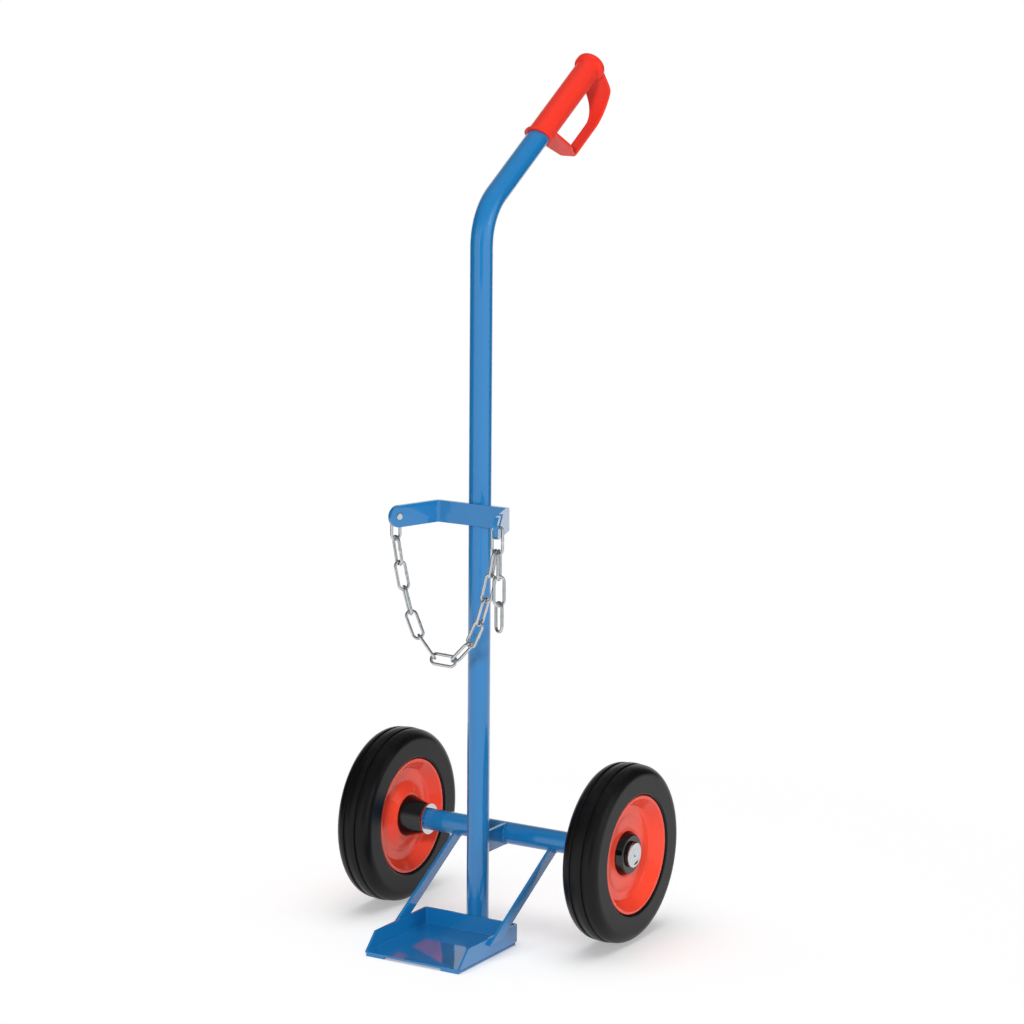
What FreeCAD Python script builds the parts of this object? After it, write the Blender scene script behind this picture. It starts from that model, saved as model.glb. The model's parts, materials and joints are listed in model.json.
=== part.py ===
"""Single gas cylinder trolley: bent tube column with a knuckle-guard grip, toe tray, bent cradle bar,
chain across the cradle, and two solid-tyred wheels on a fixed axle behind the column.

Working frame while modelling: X across the trolley, -Y to the front (the tray side), Z up, with the
column axis on X = Y = 0 and the ground at Z = 0. Everything is moved along Y at the end, so that the
origin lies on the ground under the middle of the trolley's box.
"""
import FreeCAD, Part
import math
import os
from FreeCAD import Placement, Rotation, Vector

os.makedirs("parts", exist_ok=True)

# Column and handle: one bent tube
TUBE_D = 31.0
TUBE_WALL = 2.0
HANDLE_VERTEX_Z = 1000.5      # where the column axis and the handle axis would cross
HANDLE_RISE = 32.3            # degrees above level
HANDLE_BEND_R = 80.0          # on the tube's axis

# Hand grip: moulded sleeve on the tube's end, with a knuckle guard behind it
GRIP_START = 167.0            # along the handle axis, from the crossing point
GRIP_END = 346.0
GRIP_D = 35.0
GRIP_COLLAR_D = 41.0
GRIP_COLLAR_T = 5.0
GRIP_COLLAR_R = 1.25          # rounding of the collar's edges
GRIP_COLLAR_SLANT = 19.0      # degrees, the collar's back is further up the handle than its front
GRIP_FLARE_R = 2.5            # where the sleeve runs out into the collar
GRIP_FLANGE_D = 43.0
GRIP_FLANGE_T = 11.0
GRIP_FLANGE_R = 4.4           # rounding of the flange's outer edge
GRIP_END_WALL = 4.0
GUARD_REACH = 75.0            # outside of the guard, from the handle axis
GUARD_T = 4.6
GUARD_LEG_START = 30.0        # up the grip from its collar to the guard's lower leg
GUARD_LEG_LEAN = 28.0         # degrees, the lower leg leans towards the grip's end
GUARD_TOP_R = 46.0
GUARD_CORNER_R = 18.0
GUARD_FOOT_W = 31.0           # width across the trolley where it leaves the middle of the grip
GUARD_ROOT_W = 41.0           # width across the trolley at its widest, behind the grip
GUARD_BAR_W = 16.0            # width across the trolley at the knuckles
GUARD_TAPER_START = 42.0
GUARD_EDGE_R = 1.6

# Wheels and axle
WHEEL_D = 250.0
TRACK = 365.0
AXLE_BEHIND = 78.0            # axle axis behind the column axis
AXLE_TUBE_D = 31.0
AXLE_TUBE_SHORT = 54.5        # the tube ends this far short of each wheel's middle plane
SHAFT_D = 20.0
TYRE_W = 54.0
TYRE_DEPTH = 42.5             # from the tread down to the rim's lip
TYRE_SHOULDER_R = 15.0
TYRE_CROWN = 2.5              # the tread's middle stands this much above its edges
TREAD_GROOVES = 2
GROOVE_PITCH = 18.0
GROOVE_W = 6.0                # across the groove's mouth
GROOVE_FLOOR_W = 2.6
GROOVE_FLOOR_R = 0.8
GROOVE_DEPTH = 2.6
RIM_W = 50.0
RIM_LIP_W = 4.0
RIM_T = 2.6
RIM_EDGE_R = 1.0
RIM_WALL_THIN = 0.8           # the sloping wall's share of the sheet, measured along the radius
RIM_WALL_RUN = 16.5           # the sloping wall comes in this far from the lip to the disc
RIM_OUTER_DEPTH = 17.0        # from the lip to the disc, on the outboard side
RIM_INNER_DEPTH = 15.0        # from the lip to the valley, on the inboard side
RIM_INNER_COLLAR_D = 66.0     # where the inboard disc stands out again, round the hub
RIM_INNER_COLLAR_H = 9.0
HUB_SLEEVE_D = 34.0
BUSH_D = 26.0
BUSH_LENGTH = 22.0
HUB_OUT = 17.7                # outboard end of the hub, from the wheel's middle plane
HUB_CONE_TIP_D = 40.0
HUB_CONE_TIP_R = 1.5
HUB_CONE_BASE_D = 59.0
HUB_CONE_BASE_R = 4.0
HUB_STUB_TIP_D = 54.0
HUB_STUB_TIP_R = 2.5
HUB_STUB_BASE_D = 62.0
HUB_STUB_BASE_R = 0.6
WASHER_INNER_D = 44.0
WASHER_INNER_T = 3.0
WASHER_OUTER_D = 34.0
WASHER_OUTER_T = 1.2
CAP_D = 36.5
CAP_T = 4.0
CAP_WALL = 1.6
CAP_EDGE_R = 0.6
CAP_RIM_T = 3.0               # thickness of the cap at its rim
CAP_RIM_R = 1.5
CAP_FACE_D = 29.2             # flat of the cap's face, before its edge slopes away
CAP_FACE_R = 4.0

# Web plate between the column and the axle tube
WEB_H = 30.0
WEB_T = 5.0

# Toe tray, its skids and the struts up to the axle
TRAY_W = 151.0
TRAY_DEPTH = 154.0
TRAY_TOP_Z = 29.5
TRAY_SHEET = 3.0
TRAY_CORNER_R = 5.0
TRAY_FOLD_R = 4.0
TRAY_FRONT_CUT = 23.0         # the side walls slope down to the front over this length
SKID_W = 28.0
SKID_T = 3.0
STRUT_W = 15.5
STRUT_T = 4.5
STRUT_ANGLE = 30.8            # degrees above level
STRUT_FOOT_Z = 21.0
STRUT_BELOW_AXLE = 8.0        # the strut's middle line passes this far below the axle axis

# Cradle: flat bar bent to a shallow U, welded across the column's front
CRADLE_Z = 594.7
CRADLE_H = 30.0
CRADLE_T = 5.5
CRADLE_FLAT = 107.5           # between the two fold corners, on the front face
CRADLE_FOLD = 71.0            # degrees each arm is folded forward
CRADLE_ARM = 67.0             # from the fold corner to the middle of the round end
CRADLE_BEND_R = 5.0           # inside radius
RIVET_D = 8.0
RIVET_HEAD_D = 10.0
RIVET_HEAD_T = 1.6
RIVET_DOME_R = 1.1
RIVET_WASHER_D = 16.0
RIVET_WASHER_T = 1.5
SLOT_W = 6.5
SLOT_SLANT = 35.0             # degrees above level, rising from the arm's round end towards the fold

# Chain: welded long links
LINK_WIRE = 4.2
LINK_W = 18.4                 # outside width
LINK_PITCH = 34.5             # from one contact to the next
LOOP_LINKS = 11               # hanging free, between the rivet's link and the hooked link
TAIL_TWIST = (0.0, 60.0, -46.0)   # degrees about the tail, link by link, from square to the hooked link
TAIL_LEAN = 2.5               # degrees outwards, away from the loop
TAIL_FORWARD = 10.0           # degrees forward, where the tail rests on the loop's front

# Clearances
RUN_GAP = 0.05                # radial, between the shaft and the bushes
SEAT_GAP = 0.02               # radial, in pressed or welded seats
END_GAP = 0.3                 # along the axle, on both sides of each wheel
WELD_GAP = 0.05               # root gap where a round tube meets a plate
CHAIN_GAP = 0.3               # between wires of neighbouring links
HANG_GAP = 0.1                # above the rivet's shank and the slot's floor
HOOK_SIDE_GAP = 0.7           # between the loop's last link and the tail's first, in the hooked link
LINK_SIDE_GAP = 0.3           # beside the rivet's link, to the bar and to the washer

# Places worked out from the sizes
TUBE_R = TUBE_D / 2
WHEEL_R = WHEEL_D / 2
WHEEL_X = TRACK / 2
RIM_LIP_R = WHEEL_R - TYRE_DEPTH
RIM_DISC_R = RIM_LIP_R - RIM_WALL_RUN
AXLE_TUBE_R = AXLE_TUBE_D / 2
AXLE_TUBE_END_X = WHEEL_X - AXLE_TUBE_SHORT
SHAFT_R = SHAFT_D / 2
HUB_START_X = AXLE_TUBE_END_X + WASHER_INNER_T + END_GAP
HUB_END_X = WHEEL_X + HUB_OUT
CAP_START_X = HUB_END_X + END_GAP + WASHER_OUTER_T
CAP_END_X = CAP_START_X + CAP_T
SHAFT_END_X = CAP_END_X - CAP_WALL - END_GAP
TRAY_BACK_Y = -TUBE_R - WELD_GAP
TRAY_FRONT_Y = TRAY_BACK_Y - TRAY_DEPTH
TRAY_FLOOR_Z = SKID_T + TRAY_SHEET
CRADLE_BACK_Y = -TUBE_R - WELD_GAP
CRADLE_FRONT_Y = CRADLE_BACK_Y - CRADLE_T
RIVET_WASHER_AT = CRADLE_T + LINK_WIRE + 2 * LINK_SIDE_GAP   # outwards from the arm's inner face
LINK_HALF = (LINK_PITCH + CHAIN_GAP + LINK_WIRE) / 2     # link centre to the wire axis at its end
LINK_BEND_R = (LINK_W - LINK_WIRE) / 2                   # radius of the wire axis at its ends
NEWTON_STEPS = 40
X_AXIS = Vector(1, 0, 0)
Y_AXIS = Vector(0, 1, 0)
Z_AXIS = Vector(0, 0, 1)


def rounded_wire(corners, place):
    """Closed wire through corners (a, b, radius), each rounded by its radius; place(a, b) sets a point."""
    starts, ends, arcs = [], [], []
    count = len(corners)
    for i, (a, b, radius) in enumerate(corners):
        here = Vector(a, b, 0)
        before = (Vector(*corners[i - 1][:2], 0) - here).normalize()
        after = (Vector(*corners[(i + 1) % count][:2], 0) - here).normalize()
        half = before.getAngle(after) / 2
        if radius == 0:
            starts.append(here)
            ends.append(here)
            arcs.append(None)
            continue
        run = radius / math.tan(half)
        middle = (before + after).normalize() * (radius / math.sin(half) - radius)
        starts.append(here + before * run)
        ends.append(here + after * run)
        arcs.append(here + middle)
    edges = []
    for i in range(count):
        if arcs[i]:
            points = [place(p.x, p.y) for p in (starts[i], arcs[i], ends[i])]
            edges.append(Part.Arc(*points).toShape())
        leave, arrive = ends[i], starts[(i + 1) % count]
        if leave.distanceToPoint(arrive) > 1e-6:
            edges.append(Part.LineSegment(place(leave.x, leave.y), place(arrive.x, arrive.y)).toShape())
    return Part.Wire(edges)


def turned(corners):
    """Solid of revolution about the X axis from a profile of (x, radius, corner rounding)."""
    profile = Part.Face(rounded_wire(corners, lambda x, r: Vector(x, 0, r)))
    return profile.revolve(Vector(0, 0, 0), X_AXIS, 360)


def ring(x0, x1, r_in, r_out):
    """Plain ring along X."""
    return turned([(x0, r_in, 0), (x1, r_in, 0), (x1, r_out, 0), (x0, r_out, 0)])


def plate(corners, place, along):
    """Prism: a rounded outline placed in space and pushed along a vector."""
    return Part.Face(rounded_wire(corners, place)).extrude(along)


def block(x0, x1, y0, y1, z0, z1):
    return Part.makeBox(x1 - x0, y1 - y0, z1 - z0, Vector(x0, y0, z0))


def on_axle(shape):
    """Move a piece turned about the X axis to the axle's height and place."""
    return shape.translated(Vector(0, AXLE_BEHIND, WHEEL_R))


def mirrored(shape):
    """The same piece on the other side of the trolley."""
    return shape.mirror(Vector(0, 0, 0), X_AXIS)


# Column and handle

HANDLE_FRAME = Placement(Vector(0, 0, HANDLE_VERTEX_Z), Rotation(X_AXIS, HANDLE_RISE - 90))


def column_tube():
    """Tube section pushed up, swung round the bend and pushed on along the handle."""
    turn = 90 - HANDLE_RISE
    tangent = HANDLE_BEND_R * math.tan(math.radians(turn / 2))
    bend_z = HANDLE_VERTEX_Z - tangent
    end = GRIP_END - GRIP_END_WALL - END_GAP

    def bent_rod(radius):
        section = Part.Face(Part.Wire(Part.makeCircle(radius)))
        upright = section.translated(Vector(0, 0, SKID_T)).extrude(Vector(0, 0, bend_z - SKID_T))
        bend = section.translated(Vector(0, 0, bend_z))
        bend = bend.revolve(Vector(0, HANDLE_BEND_R, bend_z), X_AXIS, -turn)
        handle = section.translated(Vector(0, 0, tangent)).extrude(Vector(0, 0, end - tangent))
        handle.Placement = HANDLE_FRAME.multiply(handle.Placement)
        return upright.multiFuse([bend, handle])

    return bent_rod(TUBE_R).cut(bent_rod(TUBE_R - TUBE_WALL))


def guard_leg(reach, shift):
    """Height up the handle of the lower leg's face at a reach from the axis, moved in by shift."""
    lean = math.radians(GUARD_LEG_LEAN)
    return GRIP_START + GUARD_LEG_START + (reach - GRIP_D / 2) * math.tan(lean) + shift / math.cos(lean)


def guard_outline(inset):
    """Outline of the guard in (reach, height up the handle), inset from its outside by a wall."""
    reach = GUARD_REACH - inset
    return [(0, GRIP_END - inset, 0),
            (reach, GRIP_END - inset, GUARD_TOP_R - inset),
            (reach, guard_leg(reach, inset), GUARD_CORNER_R - inset),
            (0, guard_leg(0, inset), 0)]


def knuckle_guard():
    """Strap bent round the knuckles: wide where it leaves the grip, narrow across the knuckles."""
    def side_on(reach, height):
        return Vector(-GUARD_ROOT_W / 2, reach, height)

    width = Vector(GUARD_ROOT_W, 0, 0)
    strap = plate(guard_outline(0), side_on, width)
    strap = strap.cut(plate(guard_outline(GUARD_T), side_on, width))
    foot, root, bar = GUARD_FOOT_W / 2, GUARD_ROOT_W / 2, GUARD_BAR_W / 2
    swell = (GUARD_REACH - GUARD_TAPER_START) / 2
    taper = [(-foot, 0, 0), (-root, GUARD_TAPER_START, swell), (-bar, GUARD_REACH, 0),
             (bar, GUARD_REACH, 0), (root, GUARD_TAPER_START, swell), (foot, 0, 0)]
    length = Vector(0, 0, GRIP_END - GRIP_START)
    strap = strap.common(plate(taper, lambda x, reach: Vector(x, reach, GRIP_START), length))
    free = [e for e in strap.Edges if e.BoundBox.YMin > GRIP_FLANGE_D / 2 and e.BoundBox.XLength < root]
    return strap.makeFillet(GUARD_EDGE_R, free)


def collar_slice(low, high):
    """Round bar of the collar's size between two slanted cuts, low and high up the handle at its front."""
    rise = math.tan(math.radians(GRIP_COLLAR_SLANT))
    wide = GRIP_COLLAR_D
    near, far = GRIP_START - wide / 2 * rise, GRIP_START + wide * 3 / 2 * rise
    outline = [(-wide, near + low, 0), (wide, far + low, 0), (wide, far + high, 0), (-wide, near + high, 0)]
    band = plate(outline, lambda reach, u: Vector(-wide, reach, u), Vector(2 * wide, 0, 0))
    bar_from = GRIP_START + low - wide
    return band.common(Part.makeCylinder(wide / 2, high - low + 3 * wide, Vector(0, 0, bar_from)))


def grip_sleeve():
    """Sleeve with a rounded end flange, cut off on the slant at its lower end and flared into a collar."""
    body, flange = GRIP_D / 2, GRIP_FLANGE_D / 2
    flange_foot = GRIP_END - GRIP_FLANGE_T
    step = (flange - body) / 2
    profile = [(GRIP_END, 0, 0), (GRIP_END, flange, GRIP_FLANGE_R), (flange_foot, flange, step),
               (flange_foot - step, body, step), (GRIP_START, body, 0), (GRIP_START, 0, 0)]
    sleeve = Part.Face(rounded_wire(profile, lambda u, r: Vector(0, r, u)))
    sleeve = sleeve.revolve(Vector(0, 0, 0), Z_AXIS, 360)
    collar = collar_slice(0, GRIP_COLLAR_T)
    collar = collar.makeFillet(GRIP_COLLAR_R, [e for e in collar.Edges if e.BoundBox.XLength > GRIP_D])
    sleeve = sleeve.cut(collar_slice(-GRIP_COLLAR_D, 0)).fuse(collar)
    joint = [e for e in sleeve.Edges if abs(e.BoundBox.XLength - GRIP_D) < 0.01 and e.BoundBox.ZLength > step]
    return sleeve.makeFillet(GRIP_FLARE_R, joint)


def hand_grip():
    """Sleeve and guard in one moulding, closed at its end."""
    depth = GRIP_END - GRIP_END_WALL - GRIP_START
    hollow = Part.makeCylinder(TUBE_R + SEAT_GAP, depth, Vector(0, 0, GRIP_START), Z_AXIS)
    grip = grip_sleeve().fuse(knuckle_guard()).cut(hollow).removeSplitter()
    grip.Placement = HANDLE_FRAME
    return grip


# Tray, skids, struts, axle and web

def toe_tray():
    """Pressed sheet tray: floor, back wall and two side walls that slope down to the open front."""
    half = TRAY_W / 2
    inner = half - TRAY_SHEET

    def pressing(side, back, corner, fold, floor_z):
        solid = block(-side, side, TRAY_FRONT_Y, back, floor_z, TRAY_TOP_Z)
        upright = [e for e in solid.Edges if e.BoundBox.ZLength > 1 and e.BoundBox.YMin > back - 1e-3]
        solid = solid.makeFillet(corner, upright)
        low = [e for e in solid.Edges if e.BoundBox.ZMax < floor_z + 1e-3]
        return solid.makeFillet(fold, [e for e in low if e.BoundBox.YMax > TRAY_FRONT_Y + 1])

    outside = pressing(half, TRAY_BACK_Y, TRAY_CORNER_R, TRAY_FOLD_R, SKID_T)
    inside = pressing(inner, TRAY_BACK_Y - TRAY_SHEET, TRAY_CORNER_R - TRAY_SHEET, TRAY_FOLD_R - TRAY_SHEET,
                      TRAY_FLOOR_Z)
    slope = [(TRAY_FRONT_Y, TRAY_FLOOR_Z, 0), (TRAY_FRONT_Y + TRAY_FRONT_CUT, TRAY_TOP_Z, 0),
             (TRAY_FRONT_Y, TRAY_TOP_Z, 0)]
    corners = plate(slope, lambda y, z: Vector(-half, y, z), Vector(TRAY_W, 0, 0))
    return outside.cut(inside).cut(corners)


def tray_skid():
    """Wear strip under the right edge of the tray floor, from the front edge to the back wall's fold."""
    right = TRAY_W / 2 - TRAY_FOLD_R / 2
    back = TRAY_BACK_Y - TRAY_CORNER_R
    return block(right - SKID_W, right, TRAY_FRONT_Y, back, 0, SKID_T)


def strut():
    """Flat bar on edge, from the outside of the tray's right wall up to the underside of the axle tube."""
    rise = math.radians(STRUT_ANGLE)
    along = Vector(0, math.cos(rise), math.sin(rise))
    across = Vector(0, -math.sin(rise), math.cos(rise))
    top = Vector(0, AXLE_BEHIND, WHEEL_R - STRUT_BELOW_AXLE)
    foot = top - along * ((top.z - STRUT_FOOT_Z + STRUT_W) / math.sin(rise))
    side = TRAY_W / 2 + WELD_GAP
    edges = [foot - across * (STRUT_W / 2), top - across * (STRUT_W / 2),
             top + across * (STRUT_W / 2), foot + across * (STRUT_W / 2)]
    outline = [(p.y, p.z, 0) for p in edges]
    bar = plate(outline, lambda y, z: Vector(side, y, z), Vector(STRUT_T, 0, 0))
    back = AXLE_BEHIND + STRUT_W
    under = block(side, side + STRUT_T, foot.y - STRUT_W, back, STRUT_FOOT_Z - WHEEL_D, STRUT_FOOT_Z)
    tube = on_axle(Part.makeCylinder(AXLE_TUBE_R + WELD_GAP, TRAY_W + STRUT_W, Vector(0, 0, 0), X_AXIS))
    return bar.cut(under).cut(tube)


def axle_web():
    """Upright plate welded between the back of the column and the front of the axle tube."""
    web = block(-WEB_T / 2, WEB_T / 2, 0, AXLE_BEHIND, WHEEL_R - WEB_H / 2, WHEEL_R + WEB_H / 2)
    column = Part.makeCylinder(TUBE_R + WELD_GAP, WHEEL_D)
    tube = on_axle(Part.makeCylinder(AXLE_TUBE_R + WELD_GAP, 2 * WEB_T, Vector(-WEB_T, 0, 0), X_AXIS))
    return web.cut(column).cut(tube)


# Wheels, built on the right side about the X axis

def rim_path(side, inset):
    """Half-rim section as (x, radius, rounding) from lip to hub, on its open side or inset to its tyre side.

    side is 1 for the outboard half and -1 for the inboard half, which stands out again round the hub.
    """
    lip_x = RIM_W / 2 - inset
    hub_r = HUB_SLEEVE_D / 2 + SEAT_GAP
    depth = RIM_OUTER_DEPTH if side > 0 else RIM_INNER_DEPTH
    valley_x = RIM_W / 2 - depth - inset
    wall = inset * RIM_WALL_THIN
    turn_r = RIM_T * 2
    path = [(lip_x, RIM_LIP_R - RIM_LIP_W + wall, RIM_T + inset - wall),
            (valley_x, RIM_DISC_R + wall, turn_r + inset)]
    if side < 0:
        collar_r = RIM_INNER_COLLAR_D / 2
        path.append((valley_x, (RIM_DISC_R + collar_r) / 2, turn_r))
        path.append((valley_x + RIM_INNER_COLLAR_H, collar_r, turn_r))
        path.append((valley_x + RIM_INNER_COLLAR_H, hub_r, 0))
    else:
        path.append((valley_x, hub_r, 0))
    return [(WHEEL_X + side * x, r, rounding) for x, r, rounding in path]


def rim_half(side):
    """Pressed dish with a flat lip, a sloping wall and a disc down to the hub sleeve."""
    edge_x = WHEEL_X + side * RIM_W / 2
    lip = [(edge_x - side * RIM_T, RIM_LIP_R, RIM_EDGE_R), (edge_x, RIM_LIP_R, RIM_EDGE_R)]
    return turned(lip + rim_path(side, 0) + rim_path(side, RIM_T)[::-1])


def tyre():
    """Solid tyre with a crowned tread, round shoulders and grooves all the way round."""
    half = TYRE_W / 2
    edge_r = WHEEL_R - TYRE_CROWN
    seat = []
    for side in (-1, 1):
        lip_x = WHEEL_X + side * (RIM_W / 2 - RIM_T)
        bead = [(WHEEL_X + side * half, RIM_LIP_R + RIM_T, RIM_T), (lip_x, RIM_LIP_R, 0)]
        seat.append(bead + rim_path(side, RIM_T)[:2])
    outer = [(WHEEL_X + half, edge_r, TYRE_SHOULDER_R), (WHEEL_X, WHEEL_R, 0),
             (WHEEL_X - half, edge_r, TYRE_SHOULDER_R)]
    body = turned(outer + seat[0] + seat[1][::-1])
    for i in range(TREAD_GROOVES):
        offset = (i - (TREAD_GROOVES - 1) / 2) * GROOVE_PITCH
        floor_r = WHEEL_R - TYRE_CROWN * abs(offset) / half - GROOVE_DEPTH
        x, mouth, floor = WHEEL_X + offset, GROOVE_W / 2, GROOVE_FLOOR_W / 2
        groove = [(x - mouth, WHEEL_R, 0), (x - floor, floor_r, GROOVE_FLOOR_R),
                  (x + floor, floor_r, GROOVE_FLOOR_R), (x + mouth, WHEEL_R, 0)]
        body = body.cut(turned(groove))
    return body


def hub_cover_inner():
    """Long black cone between the axle tube's washer and the inboard disc."""
    bore = HUB_SLEEVE_D / 2 + SEAT_GAP
    base_x = WHEEL_X - RIM_W / 2 + RIM_INNER_DEPTH - RIM_INNER_COLLAR_H - SEAT_GAP
    tip, base = HUB_CONE_TIP_D / 2, HUB_CONE_BASE_D / 2
    return turned([(HUB_START_X, bore, 0), (HUB_START_X, tip, HUB_CONE_TIP_R),
                   (base_x - RIM_T, base, HUB_CONE_BASE_R), (base_x, base, 0), (base_x, bore, 0)])


def hub_cover_outer():
    """Short black stub on the outboard disc, with a raised ring round the cap."""
    bore = HUB_SLEEVE_D / 2 + SEAT_GAP
    base_x = WHEEL_X + RIM_W / 2 - RIM_OUTER_DEPTH + SEAT_GAP
    tip, base = HUB_STUB_TIP_D / 2, HUB_STUB_BASE_D / 2
    return turned([(base_x, bore, 0), (base_x, base, 0), (base_x + RIM_T / 2, base, HUB_STUB_BASE_R),
                   (HUB_END_X, tip, HUB_STUB_TIP_R), (HUB_END_X, bore, 0)])


def hub_cap():
    """Push-on cap that grips the shaft's end and closes it off."""
    rim, bore = CAP_D / 2, SHAFT_R + SEAT_GAP
    inside_x = CAP_END_X - CAP_WALL
    return turned([(CAP_START_X, bore, 0), (CAP_START_X, rim, CAP_EDGE_R),
                   (CAP_START_X + CAP_RIM_T, rim, CAP_RIM_R), (CAP_END_X, CAP_FACE_D / 2, CAP_FACE_R),
                   (CAP_END_X, 0, 0), (inside_x, 0, 0), (inside_x, bore, 0)])


def wheel_nodes():
    """Pieces of the right wheel, then its axle-end hardware."""
    sleeve = ring(HUB_START_X, HUB_END_X, BUSH_D / 2 + SEAT_GAP, HUB_SLEEVE_D / 2)
    inner_end, outer_end = HUB_START_X + BUSH_LENGTH, HUB_END_X - BUSH_LENGTH
    bush_bore = SHAFT_R + RUN_GAP
    washer_end = AXLE_TUBE_END_X + WASHER_INNER_T
    seat = SHAFT_R + SEAT_GAP
    return {
        "tyre": tyre(),
        "rim_outer": rim_half(1),
        "rim_inner": rim_half(-1),
        "hub_sleeve": sleeve,
        "hub_cover_inner": hub_cover_inner(),
        "hub_cover_outer": hub_cover_outer(),
        "bush_inner": ring(HUB_START_X, inner_end, bush_bore, BUSH_D / 2),
        "bush_outer": ring(outer_end, HUB_END_X, bush_bore, BUSH_D / 2),
        "washer_inner": ring(AXLE_TUBE_END_X, washer_end, seat, WASHER_INNER_D / 2),
        "washer_outer": ring(HUB_END_X + END_GAP, CAP_START_X, seat, WASHER_OUTER_D / 2),
        "hub_cap": hub_cap(),
    }


# Cradle and chain

FOLD = math.radians(CRADLE_FOLD)


def arm_direction(side):
    return Vector(side * math.cos(FOLD), -math.sin(FOLD), 0)


def arm_outward(side):
    return Vector(side * math.sin(FOLD), math.cos(FOLD), 0)


def arm_point(side, along, depth):
    """Point on an arm in plan: along it from the fold corner, and depth outwards from its inner face."""
    corner = Vector(side * CRADLE_FLAT / 2, CRADLE_FRONT_Y, 0)
    return corner + arm_direction(side) * along + arm_outward(side) * depth


def arm_end_waste(side):
    """What comes off the end of an arm to round it, about the middle of its height."""
    middle = arm_point(side, CRADLE_ARM, 0) + Vector(0, 0, CRADLE_Z)
    half = CRADLE_H / 2
    square = [(0, -half, 0), (half, -half, 0), (half, half, 0), (0, half, 0)]
    through = arm_outward(side) * CRADLE_T
    end = plate(square, lambda a, z: middle + arm_direction(side) * a + Vector(0, 0, z), through)
    return end.cut(Part.makeCylinder(half, CRADLE_T, middle, arm_outward(side)))


def chain_slot():
    """Slot that drops from the right arm's top edge to the middle of its round end."""
    slant = math.radians(SLOT_SLANT)
    rise = Vector(0, 0, math.sin(slant)) - arm_direction(1) * math.cos(slant)
    across = Vector(0, 0, math.cos(slant)) + arm_direction(1) * math.sin(slant)
    foot = arm_point(1, CRADLE_ARM, 0) + Vector(0, 0, CRADLE_Z + SLOT_W / 2)
    half, length = SLOT_W / 2, CRADLE_H / math.sin(slant)
    opening = [(0, -half, 0), (length, -half, 0), (length, half, 0), (0, half, 0)]
    cut = plate(opening, lambda a, b: foot + rise * a + across * b, arm_outward(1) * CRADLE_T)
    return cut.fuse(Part.makeCylinder(half, CRADLE_T, foot, arm_outward(1)))


def cradle_bar():
    """Bent bar with round ends, the rivet hole in the left arm and the chain slot in the right one."""
    reach = CRADLE_ARM + CRADLE_H / 2
    inner = [arm_point(-1, reach, 0), arm_point(-1, 0, 0), arm_point(1, 0, 0), arm_point(1, reach, 0)]
    back_corner = CRADLE_FLAT / 2 + CRADLE_T * math.tan(FOLD / 2)
    outer = [arm_point(1, reach, CRADLE_T), Vector(back_corner, CRADLE_BACK_Y, 0),
             Vector(-back_corner, CRADLE_BACK_Y, 0), arm_point(-1, reach, CRADLE_T)]
    bend, back_bend = CRADLE_BEND_R, CRADLE_BEND_R + CRADLE_T
    radii = [0, bend, bend, 0, 0, back_bend, back_bend, 0]
    outline = [(p.x, p.y, r) for p, r in zip(inner + outer, radii)]
    bar = plate(outline, lambda x, y: Vector(x, y, CRADLE_Z - CRADLE_H / 2), Vector(0, 0, CRADLE_H))
    hole_at = arm_point(-1, CRADLE_ARM, 0) + Vector(0, 0, CRADLE_Z)
    hole = Part.makeCylinder(RIVET_D / 2 + SEAT_GAP, CRADLE_T, hole_at, arm_outward(-1))
    return bar.cut(arm_end_waste(-1)).cut(arm_end_waste(1)).cut(hole).cut(chain_slot())


def on_rivet(shape):
    """Stand a piece turned about X on the left arm, with X pointing outwards from its inner face."""
    place = arm_point(-1, CRADLE_ARM, 0) + Vector(0, 0, CRADLE_Z)
    shape.Placement = Placement(place, Rotation(X_AXIS, arm_outward(-1)))
    return shape


def chain_rivet():
    """Rivet through the left arm and its link: small round head inside, clinched head over the washer."""
    shank, head = RIVET_D / 2, RIVET_HEAD_D / 2
    shank_end = RIVET_WASHER_AT + RIVET_WASHER_T
    end = shank_end + RIVET_HEAD_T
    profile = [(-RIVET_HEAD_T, 0, 0), (-RIVET_HEAD_T, head, RIVET_DOME_R), (0, head, 0), (0, shank, 0),
               (shank_end, shank, 0), (shank_end, head, 0), (end, head, RIVET_DOME_R), (end, 0, 0)]
    return on_rivet(turned(profile))


def rivet_washer():
    """Washer that keeps the first link on the rivet."""
    bore = RIVET_D / 2 + SEAT_GAP
    return on_rivet(ring(RIVET_WASHER_AT, RIVET_WASHER_AT + RIVET_WASHER_T, bore, RIVET_WASHER_D / 2))


def chain_link(centre, along, face):
    """Welded oval link: along is its long direction, and face is square to its flat side."""
    straight = LINK_HALF - LINK_BEND_R
    bend, wire = LINK_BEND_R, LINK_WIRE / 2
    legs = [Part.makeCylinder(wire, 2 * straight, Vector(s * bend, 0, -straight), Z_AXIS) for s in (-1, 1)]
    section = Part.Face(Part.Wire(Part.makeCircle(wire, Vector(bend, 0, 0), Z_AXIS)))
    top = section.revolve(Vector(0, 0, 0), Y_AXIS, -180).translated(Vector(0, 0, straight))
    foot = section.revolve(Vector(0, 0, 0), Y_AXIS, 180).translated(Vector(0, 0, -straight))
    link = legs[0].multiFuse([legs[1], top, foot]).removeSplitter()
    along = along.normalize()
    width = face.cross(along).normalize()
    link.Placement = Placement(centre, Rotation(width, along.cross(width), along, "ZXY"))
    return link


def link_step(along, face, next_along, next_face):
    """From one link's centre to the next one's, with their wires bearing on each other along the pull."""
    pull = (along + next_along).normalize()
    bearing = (pull - face * pull.dot(face)).normalize()
    next_bearing = (pull - next_face * pull.dot(next_face)).normalize()
    straight = LINK_HALF - LINK_BEND_R
    wires = pull * (LINK_WIRE + CHAIN_GAP)
    return (along + next_along) * straight + (bearing + next_bearing) * LINK_BEND_R - wires


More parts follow.
